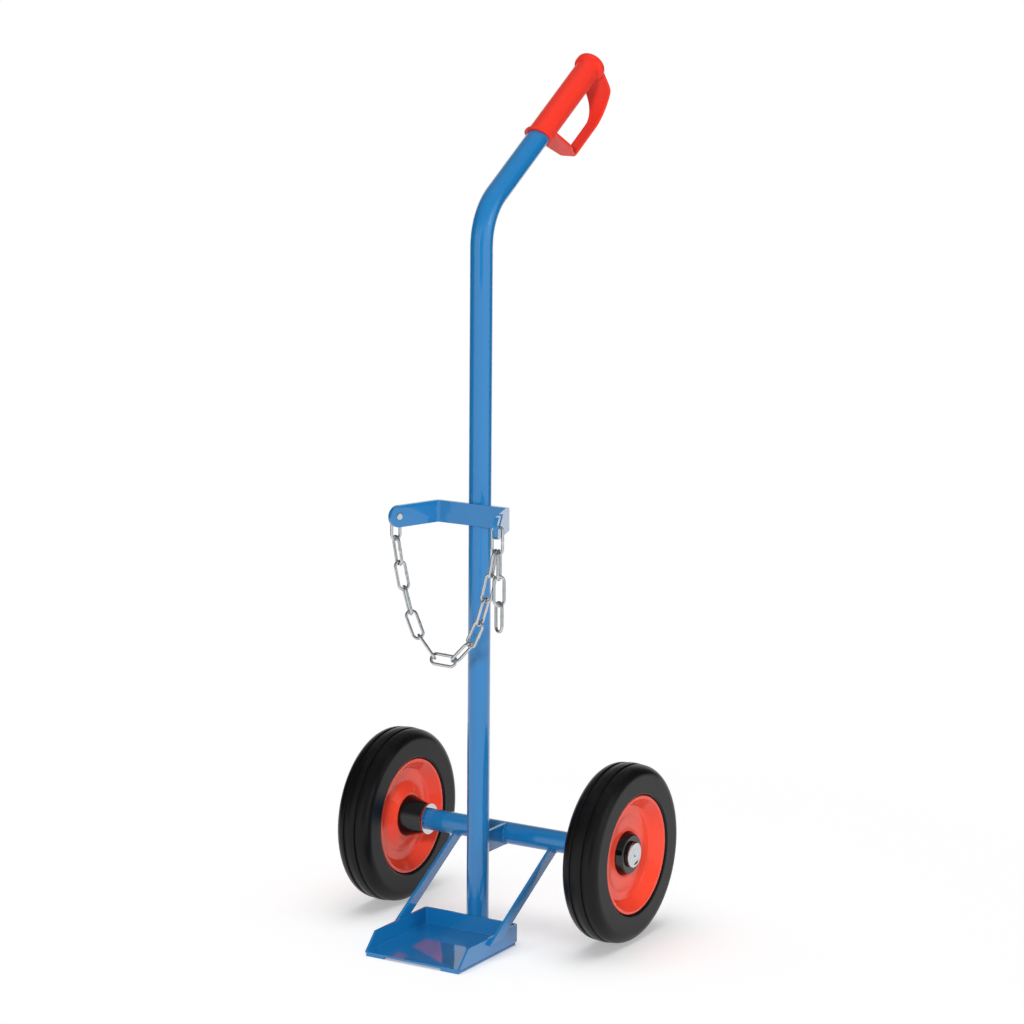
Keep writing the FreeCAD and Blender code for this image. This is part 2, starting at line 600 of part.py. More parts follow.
def hanging_loop(first, first_face, last_face, level, state):
    """Loop links as (centre, along, face), hung from the first link.

    state holds the logarithm of the level pull in link weights, the upward pull on the first link, and the
    loop's turn about Z. Each slope's tangent then grows evenly from link to link.
    """
    level = Rotation(Z_AXIS, math.degrees(state.z)).multVec(level)
    front = Vector(level.y, -level.x, 0)
    start_twist = -math.acos(first_face.dot(front))
    end_twist = math.acos(last_face.dot(front))
    loop = [(first, Z_AXIS * -1, first_face)]
    for i in range(1, LOOP_LINKS + 1):
        slope = math.atan2(state.y + i - 1, math.exp(state.x))
        along = level * math.cos(slope) + Z_AXIS * math.sin(slope)
        twist = start_twist + (end_twist - start_twist) * i / (LOOP_LINKS + 1) + math.pi / 2 * (i % 2)
        face = front * math.cos(twist) + along.cross(front) * math.sin(twist)
        centre, before, before_face = loop[-1]
        loop.append((centre + link_step(before, before_face, along, face), along, face))
    return loop[1:]


def settled_loop(first, first_face, last_face, seat):
    """Loop whose last link ends with its wire in the seat, found by Newton steps on the hanging state."""
    level = Vector(seat.x - first.x, seat.y - first.y, 0).normalize()
    state = Vector(0, -LOOP_LINKS / 2, 0)

    def miss(trial):
        centre, along, _ = hanging_loop(first, first_face, last_face, level, trial)[-1]
        return centre + along * LINK_HALF - seat

    small = 1e-5
    for _ in range(NEWTON_STEPS):
        error = miss(state)
        a, b, c = [(miss(state + axis * small) - error) * (1 / small) for axis in (X_AXIS, Y_AXIS, Z_AXIS)]
        slopes = FreeCAD.Matrix(a.x, b.x, c.x, 0, a.y, b.y, c.y, 0, a.z, b.z, c.z, 0)
        change = slopes.inverse().multVec(error)
        state = state - change * min(1, 1 / change.Length)
    return hanging_loop(first, first_face, last_face, level, state)


def chain_nodes():
    """All links in order from the rivet, and the points that the loop and the tail swing about."""
    hole_r = LINK_BEND_R - LINK_WIRE / 2
    first_z = CRADLE_Z + RIVET_D / 2 + HANG_GAP + LINK_WIRE / 2 - LINK_HALF
    first = arm_point(-1, CRADLE_ARM, CRADLE_T + LINK_SIDE_GAP + LINK_WIRE / 2) + Vector(0, 0, first_z)
    links = [chain_link(first, Z_AXIS, arm_outward(-1))]

    straddle = hole_r - math.sqrt(hole_r ** 2 - (CRADLE_T / 2) ** 2)
    hooked_z = CRADLE_Z + straddle + HANG_GAP + LINK_WIRE / 2 - LINK_HALF
    hooked = arm_point(1, CRADLE_ARM, CRADLE_T / 2) + Vector(0, 0, hooked_z)
    outward = arm_outward(1)
    beside = (LINK_WIRE + HOOK_SIDE_GAP) / 2
    room = hole_r - LINK_WIRE / 2 - CHAIN_GAP
    bend_centre = hooked - Z_AXIS * (LINK_HALF - LINK_BEND_R)
    seat_depth = Z_AXIS * math.sqrt(room ** 2 - beside ** 2)
    wire_depth = Z_AXIS * math.sqrt(LINK_BEND_R ** 2 - beside ** 2)

    loop_seat = bend_centre - outward * beside - seat_depth
    loop = settled_loop(first, arm_outward(-1) * -1, arm_direction(1), loop_seat)
    links += [chain_link(*place) for place in loop]
    links.append(chain_link(hooked, Z_AXIS, arm_direction(1)))

    lean = math.radians(TAIL_LEAN)
    along = Rotation(outward, -TAIL_FORWARD).multVec(outward * math.sin(lean) - Z_AXIS * math.cos(lean))
    centre = bend_centre + outward * beside - seat_depth + along * LINK_HALF
    for twist in TAIL_TWIST:
        links.append(chain_link(centre, along, Rotation(along, twist).multVec(outward)))
        centre = centre + along * LINK_PITCH
    top, top_along, _ = loop[0]
    loop_hinge = top - top_along * LINK_HALF, bend_centre - outward * beside - wire_depth
    tail_hinge = bend_centre + outward * beside - wire_depth
    return links, loop_hinge, tail_hinge


# All pieces, by name

def all_nodes():
    nodes = {
        "column_tube": column_tube(),
        "hand_grip": hand_grip(),
        "toe_tray": toe_tray(),
        "axle_web": axle_web(),
        "axle_tube": on_axle(ring(-AXLE_TUBE_END_X, AXLE_TUBE_END_X, SHAFT_R + SEAT_GAP, AXLE_TUBE_R)),
        "axle_shaft": on_axle(ring(-SHAFT_END_X, SHAFT_END_X, 0, SHAFT_R)),
        "cradle_bar": cradle_bar(),
        "chain_rivet": chain_rivet(),
        "rivet_washer": rivet_washer(),
    }
    pairs = {"tray_skid": tray_skid(), "strut": strut()}
    pairs.update({name: on_axle(shape) for name, shape in wheel_nodes().items()})
    for name, shape in pairs.items():
        nodes[name + "_right"] = shape
        nodes[name + "_left"] = mirrored(shape)
    links, loop_hinge, tail_hinge = chain_nodes()
    for i, link in enumerate(links, start=1):
        nodes[f"chain_link_{i:02d}"] = link
    return nodes, loop_hinge, tail_hinge


nodes, loop_hinge, tail_hinge = all_nodes()
front = nodes["toe_tray"].BoundBox.YMin
rear = max(nodes["hand_grip"].optimalBoundingBox().YMax, AXLE_BEHIND + WHEEL_R)
to_origin = Vector(0, -(front + rear) / 2, 0)
for name, shape in nodes.items():
    shape = shape.translated(to_origin)
    shape.exportStep(f"parts/{name}.step")
    if not shape.isValid() or len(shape.Solids) != 1:
        print("check", name, "valid", shape.isValid(), "solids", len(shape.Solids))
axle = Vector(0, AXLE_BEHIND, WHEEL_R) + to_origin
print("nodes", len(nodes), "moved along Y by", round(to_origin.y, 3))
print("axle", axle)
print("loop hinge", *[point + to_origin for point in loop_hinge])
print("tail hinge", tail_hinge + to_origin, arm_outward(1))
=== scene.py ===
"""Gas cylinder trolley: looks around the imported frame. Metres, Z up, the tray towards -Y, X along the axle."""
import json
import math

import bpy
import numpy as np
from mathutils import Matrix, Vector


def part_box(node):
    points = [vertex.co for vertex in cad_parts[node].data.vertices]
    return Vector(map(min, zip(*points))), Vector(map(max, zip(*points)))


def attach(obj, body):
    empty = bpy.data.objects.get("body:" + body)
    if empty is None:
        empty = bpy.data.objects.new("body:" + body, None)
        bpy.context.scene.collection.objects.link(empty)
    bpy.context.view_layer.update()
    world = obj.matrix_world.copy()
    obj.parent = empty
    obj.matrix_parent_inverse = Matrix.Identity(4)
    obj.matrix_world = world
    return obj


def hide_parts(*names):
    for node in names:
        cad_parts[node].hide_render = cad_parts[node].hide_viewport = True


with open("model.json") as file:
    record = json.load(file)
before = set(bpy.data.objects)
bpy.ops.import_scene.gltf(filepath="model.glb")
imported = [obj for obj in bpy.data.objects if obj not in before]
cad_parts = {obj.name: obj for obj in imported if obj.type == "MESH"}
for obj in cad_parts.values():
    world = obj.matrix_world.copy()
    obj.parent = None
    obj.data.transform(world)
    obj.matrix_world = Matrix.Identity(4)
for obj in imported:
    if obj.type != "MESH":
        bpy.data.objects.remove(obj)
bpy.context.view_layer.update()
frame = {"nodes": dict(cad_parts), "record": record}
NODES = frame["nodes"]
SIDES = ("left", "right")


# Node helpers

def add(tree, kind, inputs=None, **settings):
    """A node with its settings, its inputs given by name or number as values or as sockets to link."""
    made = tree.nodes.new(kind)
    for key, value in settings.items():
        setattr(made, key, value)
    for key, value in (inputs or {}).items():
        if isinstance(value, bpy.types.NodeSocket):
            tree.links.new(value, made.inputs[key])
        else:
            made.inputs[key].default_value = value
    return made


def maths(tree, operation, first, second=0.0):
    return add(tree, "ShaderNodeMath", {0: first, 1: second}, operation=operation).outputs[0]


def new_group(name, kind, inputs, outputs):
    """An empty node group: inputs as (name, socket kind, default), outputs as (name, socket kind)."""
    tree = bpy.data.node_groups.new(name, kind)
    for label, socket, default in inputs:
        made = tree.interface.new_socket(label, in_out="INPUT", socket_type=socket)
        if default is not None:
            made.default_value = default
    for label, socket in outputs:
        tree.interface.new_socket(label, in_out="OUTPUT", socket_type=socket)
    return tree, tree.nodes.new("NodeGroupInput").outputs, tree.nodes.new("NodeGroupOutput").inputs


# Shader groups

def surface_grain():
    """Broad shade and gloss changes over a surface, with a fine grain for its relief."""
    tree, given, result = new_group(
        "surface_grain", "ShaderNodeTree",
        [("Colour", "NodeSocketColor", (0.5, 0.5, 0.5, 1)), ("Shade", "NodeSocketFloat", 0.1),
         ("Roughness", "NodeSocketFloat", 0.4), ("Spread", "NodeSocketFloat", 0.08),
         ("Broad Scale", "NodeSocketFloat", 20.0), ("Grain Scale", "NodeSocketFloat", 800.0)],
        [("Colour", "NodeSocketColor"), ("Roughness", "NodeSocketFloat"), ("Height", "NodeSocketFloat")])
    place = add(tree, "ShaderNodeTexCoord").outputs["Object"]
    broad = add(tree, "ShaderNodeTexNoise",
                {"Vector": place, "Scale": given["Broad Scale"], "Detail": 4.0, "Roughness": 0.6}).outputs["Fac"]
    fine = add(tree, "ShaderNodeTexNoise",
               {"Vector": place, "Scale": given["Grain Scale"], "Detail": 3.0, "Roughness": 0.55}).outputs["Fac"]
    swing = maths(tree, "SUBTRACT", broad, 0.5)
    speckle = maths(tree, "SUBTRACT", fine, 0.5)
    both = maths(tree, "ADD", swing, maths(tree, "MULTIPLY", speckle, 0.4))
    lift = maths(tree, "ADD", maths(tree, "MULTIPLY", both, maths(tree, "MULTIPLY", given["Shade"], 2.0)), 1.0)
    shaded = add(tree, "ShaderNodeVectorMath", {0: given["Colour"], "Scale": lift}, operation="SCALE").outputs[0]
    dulled = maths(tree, "ADD", given["Roughness"],
                   maths(tree, "MULTIPLY", both, maths(tree, "MULTIPLY", given["Spread"], 2.0)))
    tree.links.new(shaded, result["Colour"])
    tree.links.new(maths(tree, "MAXIMUM", dulled, 0.02), result["Roughness"])
    tree.links.new(fine, result["Height"])
    return tree


def turning_marks():
    """Fine rings about an axis along X through the wheels' axle, as left by a mould or a lathe."""
    tree, given, result = new_group(
        "turning_marks", "ShaderNodeTree",
        [("Axle", "NodeSocketVector", (0, 0, 0)), ("Rings", "NodeSocketFloat", 300.0),
         ("Wander", "NodeSocketFloat", 0.4)],
        [("Height", "NodeSocketFloat")])
    place = add(tree, "ShaderNodeTexCoord").outputs["Object"]
    centred = add(tree, "ShaderNodeVectorMath", {0: place, 1: given["Axle"]}, operation="SUBTRACT").outputs[0]
    rings = add(tree, "ShaderNodeTexWave",
                {"Vector": centred, "Scale": given["Rings"], "Distortion": given["Wander"], "Detail": 2.0},
                wave_type="RINGS", rings_direction="X").outputs["Fac"]
    tree.links.new(rings, result["Height"])
    return tree


def pressed_dish():
    """Height of a bowl pressed about the axle: it rises from a valley to the hub and to the rim's sloping wall."""
    tree, given, result = new_group(
        "pressed_dish", "ShaderNodeTree",
        [("Axle", "NodeSocketVector", (0, 0, 0)), ("Valley Radius", "NodeSocketFloat", 0.038),
         ("Wall Radius", "NodeSocketFloat", 0.054), ("Hub Rise", "NodeSocketFloat", 60.0),
         ("Wall Rise", "NodeSocketFloat", 14.0)],
        [("Height", "NodeSocketFloat")])
    place = add(tree, "ShaderNodeTexCoord").outputs["Object"]
    centred = add(tree, "ShaderNodeVectorMath", {0: place, 1: given["Axle"]}, operation="SUBTRACT").outputs[0]
    across = add(tree, "ShaderNodeVectorMath", {0: centred, 1: (0, 1, 1)}, operation="MULTIPLY").outputs[0]
    radius = add(tree, "ShaderNodeVectorMath", {0: across}, operation="LENGTH").outputs["Value"]
    away = maths(tree, "SUBTRACT", maths(tree, "MINIMUM", radius, given["Wall Radius"]), given["Valley Radius"])
    inside, outside = maths(tree, "MINIMUM", away, 0.0), maths(tree, "MAXIMUM", away, 0.0)
    to_hub = maths(tree, "MULTIPLY", maths(tree, "MULTIPLY", inside, inside), given["Hub Rise"])
    to_wall = maths(tree, "MULTIPLY", maths(tree, "MULTIPLY", outside, outside), given["Wall Rise"])
    tree.links.new(maths(tree, "ADD", to_hub, to_wall), result["Height"])
    return tree


def settled_dust():
    """Where dust settles: a broken mask on faces that look up."""
    tree, given, result = new_group(
        "settled_dust", "ShaderNodeTree",
        [("Amount", "NodeSocketFloat", 0.1), ("Scale", "NodeSocketFloat", 60.0)], [("Mask", "NodeSocketFloat")])
    place = add(tree, "ShaderNodeTexCoord").outputs["Object"]
    specks = add(tree, "ShaderNodeTexNoise",
                 {"Vector": place, "Scale": given["Scale"], "Detail": 6.0, "Roughness": 0.7}).outputs["Fac"]
    up = add(tree, "ShaderNodeSeparateXYZ", {0: add(tree, "ShaderNodeNewGeometry").outputs["Normal"]}).outputs["Z"]
    facing = add(tree, "ShaderNodeMapRange", {"Value": up, "From Min": 0.3, "From Max": 0.95}).outputs[0]
    broken = add(tree, "ShaderNodeMapRange", {"Value": specks, "From Min": 0.45, "From Max": 0.75}).outputs[0]
    mask = maths(tree, "MULTIPLY", maths(tree, "MULTIPLY", facing, broken), given["Amount"])
    tree.links.new(mask, result["Mask"])
    return tree


GRAIN = surface_grain()
MARKS = turning_marks()
DISH = pressed_dish()
DUST = settled_dust()


# Materials

DUST_COLOUR = (0.42, 0.40, 0.37, 1)
DUST_DULLS = 0.4              # added to the roughness under full dust


def mix_colour(tree, factor, first, second):
    """Two colours mixed by a mask."""
    mix = tree.nodes.new("ShaderNodeMix")
    mix.data_type = "RGBA"
    sockets = {s.identifier: s for s in mix.inputs}
    tree.links.new(factor, sockets["Factor_Float"])
    tree.links.new(first, sockets["A_Color"])
    sockets["B_Color"].default_value = second
    return next(s for s in mix.outputs if s.identifier == "Result_Color")


def finish(name, colour, roughness, sockets=None, shade=0.08, spread=0.05, broad=18.0, grain=900.0,
           relief=0.00002, soft_edge=0.0, dust=0.0, rings=None, dished=False):
    """A surface finish: shade and gloss changes, grain, soft edges, dust, turning marks and a dish as asked for."""
    material = bpy.data.materials.new(name)
    material.use_nodes = True
    tree = material.node_tree
    shader = tree.nodes["Principled BSDF"]
    for key, value in (sockets or {}).items():
        shader.inputs[key].default_value = value
    surface = add(tree, "ShaderNodeGroup", node_tree=GRAIN)
    for key, value in (("Colour", (*colour, 1)), ("Shade", shade), ("Roughness", roughness), ("Spread", spread),
                       ("Broad Scale", broad), ("Grain Scale", grain)):
        surface.inputs[key].default_value = value
    tint, gloss = surface.outputs["Colour"], surface.outputs["Roughness"]
    if dust:
        settled = add(tree, "ShaderNodeGroup", node_tree=DUST)
        settled.inputs["Amount"].default_value = dust
        mask = settled.outputs["Mask"]
        tint = mix_colour(tree, mask, tint, DUST_COLOUR)
        gloss = maths(tree, "ADD", gloss, maths(tree, "MULTIPLY", mask, DUST_DULLS))
    height = surface.outputs["Height"]
    if rings:
        marks = add(tree, "ShaderNodeGroup", node_tree=MARKS)
        marks.inputs["Axle"].default_value = AXLE
        marks.inputs["Rings"].default_value = rings
        height = maths(tree, "ADD", height, marks.outputs["Height"])
    bump = add(tree, "ShaderNodeBump", {"Strength": 1.0, "Distance": relief, "Height": height})
    below = bump
    if dished:
        bowl = add(tree, "ShaderNodeGroup", node_tree=DISH)
        bowl.inputs["Axle"].default_value = AXLE
        below = add(tree, "ShaderNodeBump", {"Strength": 1.0, "Distance": 1.0, "Height": bowl.outputs["Height"]})
        tree.links.new(below.outputs["Normal"], bump.inputs["Normal"])
    if soft_edge:
        tree.links.new(add(tree, "ShaderNodeBevel", {"Radius": soft_edge}, samples=6).outputs[0],
                       below.inputs["Normal"])
    tree.links.new(tint, shader.inputs["Base Color"])
    tree.links.new(gloss, shader.inputs["Roughness"])
    tree.links.new(bump.outputs["Normal"], shader.inputs["Normal"])
    return material


tyre_low, tyre_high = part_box("tyre_left")
AXLE = Vector((0, (tyre_low.y + tyre_high.y) / 2, (tyre_low.z + tyre_high.z) / 2))

FINISHES = {
    "blue_paint": finish("blue_powder_coat", (0.008, 0.190, 0.480), 0.30,
                         {"Coat Weight": 1.0, "Coat Roughness": 0.04, "Specular IOR Level": 0.30}, shade=0.05,
                         spread=0.05, broad=9.0, grain=330.0, relief=0.000004, soft_edge=0.0009, dust=0.03),
    "red_grip": finish("red_moulding", (0.88, 0.036, 0.018), 0.42, {"Specular IOR Level": 0.32}, shade=0.05,
                       spread=0.05, broad=24.0, grain=1400.0, relief=0.000004, soft_edge=0.0008),
    "rim_paint": finish("red_rim_enamel", (0.90, 0.066, 0.030), 0.24,
                        {"Coat Weight": 0.50, "Coat Roughness": 0.025, "Specular IOR Level": 0.15}, shade=0.05,
                        spread=0.04, broad=16.0, grain=250.0, relief=0.000006, soft_edge=0.0010, dust=0.02,
                        dished=True),
    "tyre": finish("black_rubber", (0.0050, 0.0050, 0.0054), 0.31, {"Specular IOR Level": 0.18}, shade=0.30,
                   spread=0.08, broad=22.0, grain=900.0, relief=0.00002, soft_edge=0.0012, dust=0.02, rings=110.0),
    "hub_black": finish("black_hub_moulding", (0.003, 0.003, 0.0034), 0.12, {"Specular IOR Level": 0.55},
                        shade=0.15, spread=0.05, broad=40.0, grain=900.0, relief=0.000006, soft_edge=0.0006,
                        rings=160.0),
    "zinc": finish("bright_zinc", (0.58, 0.60, 0.615), 0.09, {"Metallic": 1.0}, shade=0.10, spread=0.10,
                   broad=90.0, grain=1200.0, relief=0.000008, soft_edge=0.0004),
    "plain_steel": finish("turned_steel", (0.50, 0.50, 0.51), 0.32, {"Metallic": 1.0}, shade=0.12, spread=0.10,
                          broad=60.0, grain=2000.0, relief=0.00003, rings=900.0),
    "bush_nylon": finish("nylon_bush", (0.68, 0.66, 0.61), 0.45, {"Subsurface Weight": 0.1}, shade=0.05,
                         spread=0.05, broad=60.0, grain=1500.0, relief=0.00003),
}

for part in frame["record"]["subparts"]:
    piece = NODES[part["node"]]
    piece.data.materials.clear()
    piece.data.materials.append(FINISHES[part["material_slot"]])


# Geometry Nodes: what repeats

def chain_tree():
    """A welded link, put on every point of a mesh that carries its turn."""
    tree, given, result = new_group(
        "chain_links", "GeometryNodeTree",
        [("Points", "NodeSocketGeometry", None), ("Wire", "NodeSocketFloat", 0.004),
         ("Bend Radius", "NodeSocketFloat", 0.007), ("Straight", "NodeSocketFloat", 0.024),
         ("Weld Bulge", "NodeSocketFloat", 0.1), ("Material", "NodeSocketMaterial", None)],
        [("Links", "NodeSocketGeometry")])
    circle = add(tree, "GeometryNodeCurvePrimitiveCircle", {"Resolution": 50, "Radius": given["Bend Radius"]})
    side = add(tree, "ShaderNodeSeparateXYZ", {0: add(tree, "GeometryNodeInputPosition").outputs[0]})
    slide = maths(tree, "MULTIPLY", maths(tree, "SIGN", side.outputs["X"]),
                  maths(tree, "MULTIPLY", given["Straight"], 0.5))
    offset = add(tree, "ShaderNodeCombineXYZ", {"X": slide}).outputs[0]
    spread = add(tree, "GeometryNodeSetPosition", {"Geometry": circle.outputs[0], "Offset": offset})
    even = add(tree, "GeometryNodeResampleCurve", {"Curve": spread.outputs[0], "Count": 110})
    spot = add(tree, "ShaderNodeSeparateXYZ", {0: add(tree, "GeometryNodeInputPosition").outputs[0]})
    along = maths(tree, "DIVIDE", spot.outputs["X"], given["Wire"])
    hump = maths(tree, "POWER", 0.35, maths(tree, "MULTIPLY", maths(tree, "MULTIPLY", along, along), 2.5))
    welded = maths(tree, "MULTIPLY", maths(tree, "GREATER_THAN", spot.outputs["Y"], 0.0), hump)
    scale = maths(tree, "ADD", maths(tree, "MULTIPLY", welded, given["Weld Bulge"]), 1.0)
    section = add(tree, "GeometryNodeCurvePrimitiveCircle",
                  {"Resolution": 20, "Radius": maths(tree, "MULTIPLY", given["Wire"], 0.5)})
    solid = add(tree, "GeometryNodeCurveToMesh",
                {"Curve": even.outputs[0], "Profile Curve": section.outputs[0], "Scale": scale})
    turn = add(tree, "GeometryNodeInputNamedAttribute", {"Name": "turn"}, data_type="FLOAT_VECTOR")
    turned = add(tree, "FunctionNodeEulerToRotation", {0: turn.outputs["Attribute"]})
    placed = add(tree, "GeometryNodeInstanceOnPoints",
                 {"Points": given["Points"], "Instance": solid.outputs[0], "Rotation": turned.outputs[0]})
    real = add(tree, "GeometryNodeRealizeInstances", {0: placed.outputs[0]})
    smooth = add(tree, "GeometryNodeSetShadeSmooth", {"Geometry": real.outputs[0]})
    done = add(tree, "GeometryNodeSetMaterial", {"Geometry": smooth.outputs[0], "Material": given["Material"]})
    tree.links.new(done.outputs[0], result["Links"])
    return tree


def bead_tree():
    """A rippled weld bead along every line of a mesh."""
    tree, given, result = new_group(
        "weld_bead", "GeometryNodeTree",
        [("Lines", "NodeSocketGeometry", None), ("Radius", "NodeSocketFloat", 0.002),
         ("Ripple Pitch", "NodeSocketFloat", 0.0018), ("Ripple", "NodeSocketFloat", 0.2),
         ("Material", "NodeSocketMaterial", None)],
        [("Beads", "NodeSocketGeometry")])
    lines = add(tree, "GeometryNodeMeshToCurve", {0: given["Lines"]})
    even = add(tree, "GeometryNodeResampleCurve",
               {"Curve": lines.outputs[0], "Length": maths(tree, "MULTIPLY", given["Ripple Pitch"], 0.16)},
               mode="LENGTH")
    spline = add(tree, "GeometryNodeSplineParameter")
    phase = maths(tree, "MULTIPLY", maths(tree, "DIVIDE", spline.outputs["Length"], given["Ripple Pitch"]), math.pi)
    scallop = maths(tree, "POWER", maths(tree, "ABSOLUTE", maths(tree, "SINE", phase)), 0.6)
    ripple = maths(tree, "ADD", maths(tree, "MULTIPLY", scallop, given["Ripple"]),
                   maths(tree, "SUBTRACT", 1.0, given["Ripple"]))
    centred = maths(tree, "SUBTRACT", maths(tree, "MULTIPLY", spline.outputs["Factor"], 2.0), 1.0)
    ends = maths(tree, "SQRT", maths(tree, "MAXIMUM", maths(
        tree, "SUBTRACT", 1.0, maths(tree, "POWER", maths(tree, "ABSOLUTE", centred), 12.0)), 0.05))
    lumps = add(tree, "ShaderNodeTexNoise", {"Scale": 350.0, "Detail": 2.0}).outputs["Fac"]
    uneven = maths(tree, "ADD", maths(tree, "MULTIPLY", lumps, 0.5), 0.75)
    scale = maths(tree, "MULTIPLY", maths(tree, "MULTIPLY", ripple, ends), uneven)
    section = add(tree, "GeometryNodeCurvePrimitiveCircle", {"Resolution": 12, "Radius": given["Radius"]})
    solid = add(tree, "GeometryNodeCurveToMesh",
                {"Curve": even.outputs[0], "Profile Curve": section.outputs[0], "Scale": scale, "Fill Caps": True})
    real = add(tree, "GeometryNodeRealizeInstances", {0: solid.outputs[0]})
    smooth = add(tree, "GeometryNodeSetShadeSmooth", {"Geometry": real.outputs[0]})
    done = add(tree, "GeometryNodeSetMaterial", {"Geometry": smooth.outputs[0], "Material": given["Material"]})
    tree.links.new(done.outputs[0], result["Beads"])
    return tree


def grown(name, source, tree, values):
    """The plain mesh that a node tree makes of a source mesh."""
    carrier = bpy.data.objects.new(name + "_source", source)
    bpy.context.scene.collection.objects.link(carrier)
    modifier = carrier.modifiers.new(name, "NODES")
    modifier.node_group = tree
    sockets = {s.name: s.identifier for s in tree.interface.items_tree if s.in_out == "INPUT"}
    for key, value in values.items():
        modifier[sockets[key]] = value
    bpy.context.view_layer.update()
    mesh = bpy.data.meshes.new_from_object(carrier.evaluated_get(bpy.context.evaluated_depsgraph_get()))
    mesh.name = name
    carrier.modifiers.clear()
    bpy.data.objects.remove(carrier)
    made = bpy.data.objects.new(name, mesh)
    bpy.context.scene.collection.objects.link(made)
    return made


# Chain

def link_place(node):
    """A CAD link's middle, its own axes (length, width, thickness) and its size along them."""
    mesh = NODES[node].data
    mesh.calc_loop_triangles()
    points = np.array([v.co for v in mesh.vertices])
    corners = points[np.array([t.vertices for t in mesh.loop_triangles])]
    areas = np.linalg.norm(np.cross(corners[:, 1] - corners[:, 0], corners[:, 2] - corners[:, 0]), axis=1)
    centres = corners.mean(axis=1)
    middle = np.average(centres, axis=0, weights=areas)
    spread = np.cov((centres - middle).T, aweights=areas)
    axes = np.linalg.eigh(spread)[1][:, ::-1]
    if np.linalg.det(axes) < 0:
        axes[:, 2] *= -1
    local = (points - middle) @ axes
    middle = middle + axes @ ((local.max(axis=0) + local.min(axis=0)) / 2)
    return middle, axes, local.max(axis=0) - local.min(axis=0)


CHAIN_TREE = chain_tree()
LINK_WELD_BULGE = 0.10        # share of the wire's thickness


def chain_run(name, body, first, last):
    """The links first to last as one piece on a body."""
    nodes = [f"chain_link_{number:02d}" for number in range(first, last + 1)]
    places = [link_place(node) for node in nodes]
    source = bpy.data.meshes.new(name + "_points")
    source.from_pydata([tuple(middle) for middle, axes, size in places], [], [])
    turns = source.attributes.new("turn", "FLOAT_VECTOR", "POINT")
    for number, (middle, axes, size) in enumerate(places):
        turns.data[number].vector = Matrix(axes.tolist()).to_euler()
    length, width, wire = (float(v) for v in np.mean([size for middle, axes, size in places], axis=0))
    run = grown(name, source, CHAIN_TREE,
                {"Wire": wire, "Bend Radius": (width - wire) / 2, "Straight": length - width,
                 "Weld Bulge": LINK_WELD_BULGE, "Material": FINISHES["zinc"]})
    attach(run, body)
    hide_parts(*nodes)


chain_run("chain_on_rivet", "frame", 1, 1)
chain_run("chain_hanging", "chain_loop", 2, 12)
chain_run("chain_in_slot", "frame", 13, 13)
chain_run("chain_tail_links", "chain_tail", 14, 16)


# Hub caps

CAP_STEPS = 72
# Distance from the middle and height over the seat, as shares of the CAD cap's radius and thickness
CAP_PROFILE = ((0.0, 0.55), (0.06, 0.55), (0.12, 0.76), (0.18, 0.84), (0.28, 0.86), (0.42, 0.78), (0.55, 0.72),
               (0.66, 0.76), (0.76, 0.93), (0.84, 1.0), (0.90, 0.97), (0.96, 0.86), (0.99, 0.74), (1.0, 0.6),
               (1.0, 0.0), (0.5, 0.0))


def hub_cap(side):
    """A pressed cap with a raised edge, a shallow dish and a centre mark."""
    node = "hub_cap_" + side
    low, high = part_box(node)
    seat, top = (high.x, low.x) if side == "left" else (low.x, high.x)
    radius = (high.z - low.z) / 2
    points, faces = [], []
    for share, rise in CAP_PROFILE:
        for turn in np.linspace(0, 2 * math.pi, CAP_STEPS, endpoint=False):
            points.append((seat + (top - seat) * rise, AXLE.y + radius * share * math.cos(turn),
                           AXLE.z + radius * share * math.sin(turn)))
    for ring in range(len(CAP_PROFILE) - 1):
        for n in range(CAP_STEPS):
            here, after = ring * CAP_STEPS + n, ring * CAP_STEPS + (n + 1) % CAP_STEPS
            quad = (here, here + CAP_STEPS, after + CAP_STEPS, after)
            faces.append(quad if side == "right" else quad[::-1])
    mesh = bpy.data.meshes.new("cap_" + side)
    mesh.from_pydata(points, [], faces)
    mesh.shade_smooth()
    mesh.materials.append(FINISHES["zinc"])
    cap = bpy.data.objects.new("cap_" + side, mesh)
    bpy.context.scene.collection.objects.link(cap)
    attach(cap, "frame")
    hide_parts(node)


for wheel_side in SIDES:
    hub_cap(wheel_side)


# Weld beads

BEAD_RADIUS = 0.0022
BEAD_RIPPLE_PITCH = 0.0019
BEAD_RIPPLE = 0.22
WELD_POINTS = 12              # along a curved weld
WEB_WELD_IN = 0.0004          # from the web's front edge
BAR_WELD_INSET = (0.001, 0.001)     # from the bar's lower and upper edge
TRAY_WELD_INSET = (0.006, 0.002)    # from the tray's lower and upper edge
COLUMN_WELD_ASIDE = 0.5       # shares of the column's radius
COLUMN_WELD_FORWARD = 0.94
STRUT_WELD_ARC = (-101, -27)  # degrees round the axle tube, from level at its front


def straight(start, end):
    """A straight weld."""
    return [Vector(start), Vector(end)]


